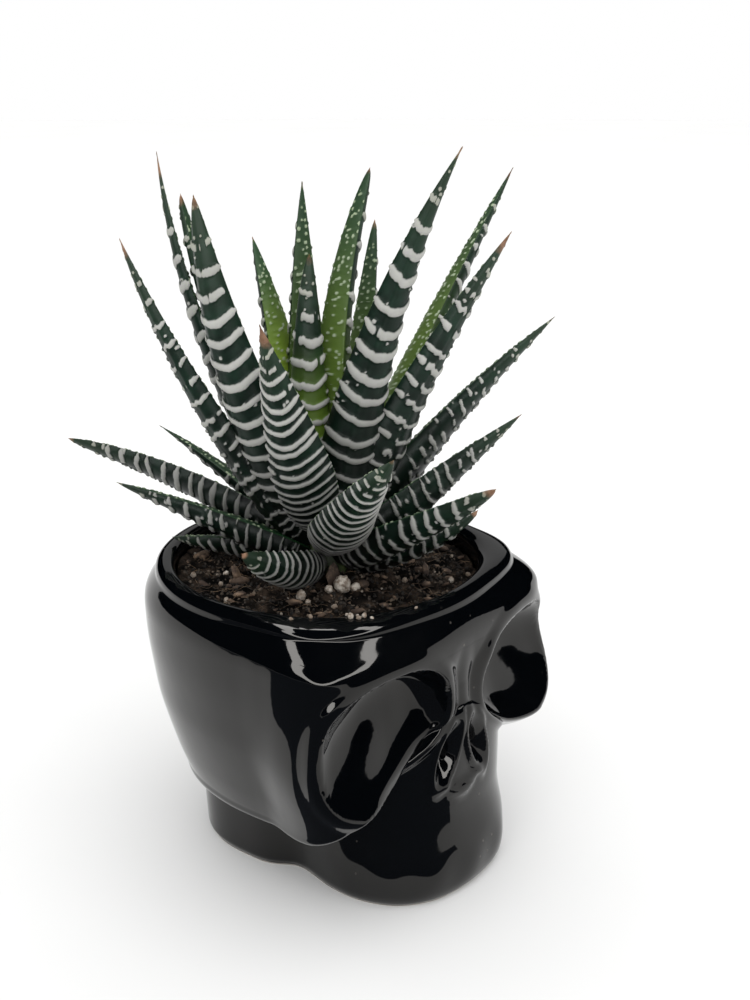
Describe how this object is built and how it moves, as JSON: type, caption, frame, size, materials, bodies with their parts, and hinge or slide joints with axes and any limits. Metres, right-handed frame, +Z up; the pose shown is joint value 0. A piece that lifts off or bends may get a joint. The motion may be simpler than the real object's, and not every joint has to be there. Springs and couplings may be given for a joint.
{
  "type": "potted haworthia",
  "caption": "Zebra haworthia rosette of pointed leaves with raised white bands, growing in soil in a black glazed skull-shaped planter.",
  "frame": {"origin": "centre of the planter's round opening, projected down to the flat underside that the planter stands on", "axes": "+Z up, -Y out of the skull's face, +X to the skull's left"},
  "size_m": [0.1042, 0.1151, 0.1753],
  "materials": {
    "black_glaze": "glossy black glaze over slip-cast ceramic",
    "soil": null,
    "stem": null,
    "leaf": null
  },
  "bodies": {
    "root": {"skull_planter": "black_glaze", "potting_soil": "soil", "stem": "stem", "leaf_heart_front": "leaf", "leaf_heart_back": "leaf", "leaf_heart_right": "leaf", "leaf_heart_left": "leaf", "leaf_back_slender": "leaf", "leaf_left_tall": "leaf", "leaf_left_hidden": "leaf", "leaf_left_outer": "leaf", "leaf_right_tall": "leaf", "leaf_right_long": "leaf", "leaf_right_broad": "leaf", "leaf_left_hooked": "leaf", "leaf_front_broad": "leaf", "leaf_right_leaning": "leaf", "leaf_back_low": "leaf", "leaf_front_short": "leaf", "leaf_right_low": "leaf", "leaf_left_long": "leaf", "leaf_front_right": "leaf", "leaf_left_low": "leaf", "leaf_soil_front": "leaf", "leaf_soil_left": "leaf", "leaf_soil_right": "leaf", "leaf_back_mid": "leaf", "leaf_back_right": "leaf", "leaf_back_left": "leaf", "leaf_back_soil": "leaf"}
  },
  "joints": []
}
